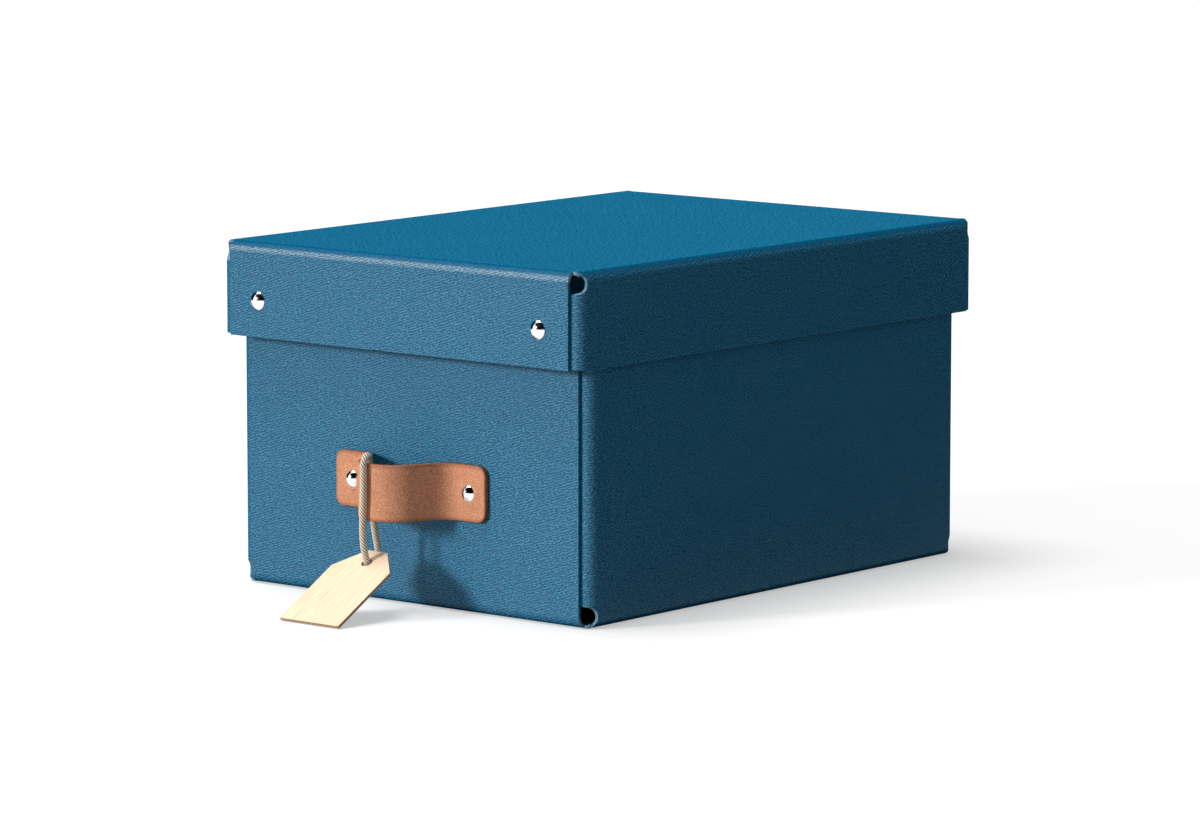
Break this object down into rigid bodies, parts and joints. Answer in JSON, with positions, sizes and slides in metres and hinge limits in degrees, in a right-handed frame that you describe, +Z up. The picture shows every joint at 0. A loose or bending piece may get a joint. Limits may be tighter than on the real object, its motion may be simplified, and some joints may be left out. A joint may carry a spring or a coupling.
{
  "type": "archival storage box",
  "caption": "Rectangular board storage box with a lift-off lid, riveted corners, a leather pull strap on one end and a wooden hang tag on a cord.",
  "frame": {"origin": "middle of the base's underside, between the long sides and between the end panels", "axes": "+Z up, out of the lid; -Y out of the end with the handle; +X to the right seen from that end"},
  "size_m": [0.2024, 0.3338, 0.1509],
  "materials": {
    "board": "embossed linen-grain coating, satin",
    "leather": "fine grain, cut edges darker, matt",
    "rivet_metal": "polished",
    "tag_wood": "fine sanded veneer, unprinted",
    "cord": "twisted cotton"
  },
  "bodies": {
    "tray": {"tray_blank": "board", "handle_strap": "leather", "tag_cord": "cord", "tag_knot": "cord", "tray_rivet_cap_front_left": "rivet_metal", "tray_rivet_cap_front_right": "rivet_metal", "tray_rivet_cap_back_left": "rivet_metal", "tray_rivet_cap_back_right": "rivet_metal", "tray_rivet_tail_front_left": "rivet_metal", "tray_rivet_tail_front_right": "rivet_metal", "tray_rivet_tail_back_left": "rivet_metal", "tray_rivet_tail_back_right": "rivet_metal", "handle_rivet_cap_left": "rivet_metal", "handle_rivet_cap_right": "rivet_metal", "handle_rivet_tail_left": "rivet_metal", "handle_rivet_tail_right": "rivet_metal"},
    "lid": {"lid_blank": "board", "lid_rivet_cap_front_left": "rivet_metal", "lid_rivet_cap_front_right": "rivet_metal", "lid_rivet_cap_back_left": "rivet_metal", "lid_rivet_cap_back_right": "rivet_metal", "lid_rivet_tail_front_left": "rivet_metal", "lid_rivet_tail_front_right": "rivet_metal", "lid_rivet_tail_back_left": "rivet_metal", "lid_rivet_tail_back_right": "rivet_metal"},
    "tag": {"hang_tag": "tag_wood"}
  },
  "joints": [
    {"name": "lid_lift", "type": "slide", "parent": "tray", "child": "lid", "axis": [0, 0, 1], "range_m": [0, 0.06]},
    {"name": "tag_swing", "type": "hinge", "parent": "tray", "child": "tag", "pos_m": [-0.001, -0.1549, 0.0395], "axis": [-1, 0, 0], "range_deg": [0, 60], "deforming": ["tag_cord"]}
  ]
}
